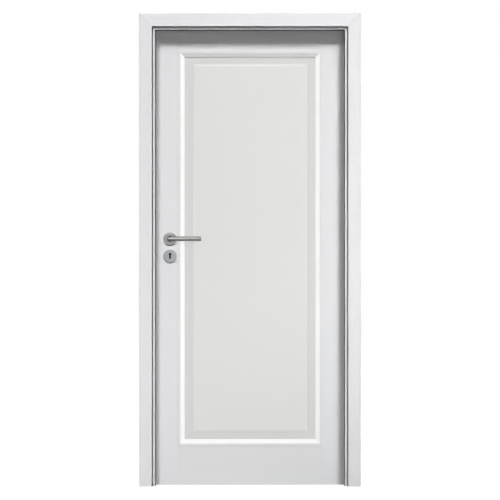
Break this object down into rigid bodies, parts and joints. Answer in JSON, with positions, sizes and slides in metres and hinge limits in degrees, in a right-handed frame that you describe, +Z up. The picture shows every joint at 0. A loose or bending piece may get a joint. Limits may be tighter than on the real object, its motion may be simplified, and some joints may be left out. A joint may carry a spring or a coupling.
{
  "type": "interior door with frame",
  "caption": "White rebated interior door leaf with one raised panel, hung in a wrap-around frame with mitred casings, with round-bar lever handles on round roses.",
  "frame": {"origin": "at floor level, mid-wall, on the face of the hinge jamb's lining that is fixed to the wall", "axes": "+Z up, +X from the leaf towards the hinge jamb's wall, +Y towards the side that the leaf opens to"},
  "size_m": [0.957, 0.2115, 2.041],
  "materials": {
    "frame_lacquer": "satin white lacquer on board",
    "leaf_lacquer": "satin white lacquer over primed wood",
    "panel_lacquer": "satin white lacquer over primed board",
    "moulding_lacquer": "bright white lacquer over primed wood",
    "seal_rubber": "soft pale grey strip",
    "hinge_steel": "satin nickel plated",
    "lock_steel": "zinc plated",
    "plate_steel": "brushed",
    "handle_steel": "fine brushed stainless steel"
  },
  "bodies": {
    "frame": {"front_casing_hinge_side": "frame_lacquer", "front_casing_lock_side": "frame_lacquer", "front_casing_head": "frame_lacquer", "lining_hinge_side": "frame_lacquer", "lining_lock_side": "frame_lacquer", "lining_head": "frame_lacquer", "back_casing_hinge_side": "frame_lacquer", "back_casing_lock_side": "frame_lacquer", "back_casing_head": "frame_lacquer", "seal_hinge_side": "seal_rubber", "seal_lock_side": "seal_rubber", "seal_head": "seal_rubber", "strike_plate": "plate_steel", "upper_hinge_frame_part": "hinge_steel", "lower_hinge_frame_part": "hinge_steel", "upper_hinge_pin": "hinge_steel", "lower_hinge_pin": "hinge_steel"},
    "leaf": {"hinge_stile": "leaf_lacquer", "lock_stile": "leaf_lacquer", "top_rail": "leaf_lacquer", "bottom_rail": "leaf_lacquer", "panel": "panel_lacquer", "front_moulding_hinge": "moulding_lacquer", "front_moulding_lock": "moulding_lacquer", "front_moulding_top": "moulding_lacquer", "front_moulding_bottom": "moulding_lacquer", "back_moulding_hinge": "moulding_lacquer", "back_moulding_lock": "moulding_lacquer", "back_moulding_top": "moulding_lacquer", "back_moulding_bottom": "moulding_lacquer", "lock_case": "lock_steel", "lock_face_plate": "plate_steel", "latch_bolt": "plate_steel", "dead_bolt": "plate_steel", "front_lever_rose": "handle_steel", "back_lever_rose": "handle_steel", "front_key_escutcheon": "handle_steel", "back_key_escutcheon": "handle_steel", "upper_hinge_leaf_part": "hinge_steel", "lower_hinge_leaf_part": "hinge_steel"},
    "lever": {"front_lever": "handle_steel", "back_lever": "handle_steel", "spindle": "handle_steel"}
  },
  "joints": [
    {"name": "leaf_swing", "type": "hinge", "parent": "frame", "child": "leaf", "pos_m": [0.006, 0.0785, 1.027], "axis": [0, 0, -1], "range_deg": [0, 170]},
    {"name": "lever_turn", "type": "hinge", "parent": "leaf", "child": "lever", "pos_m": [-0.778, 0.066, 1.069], "axis": [0, 1, 0], "range_deg": [0, 40], "stiffness_Nm_per_rad": 1.2, "springref_deg": -22.92}
  ]
}
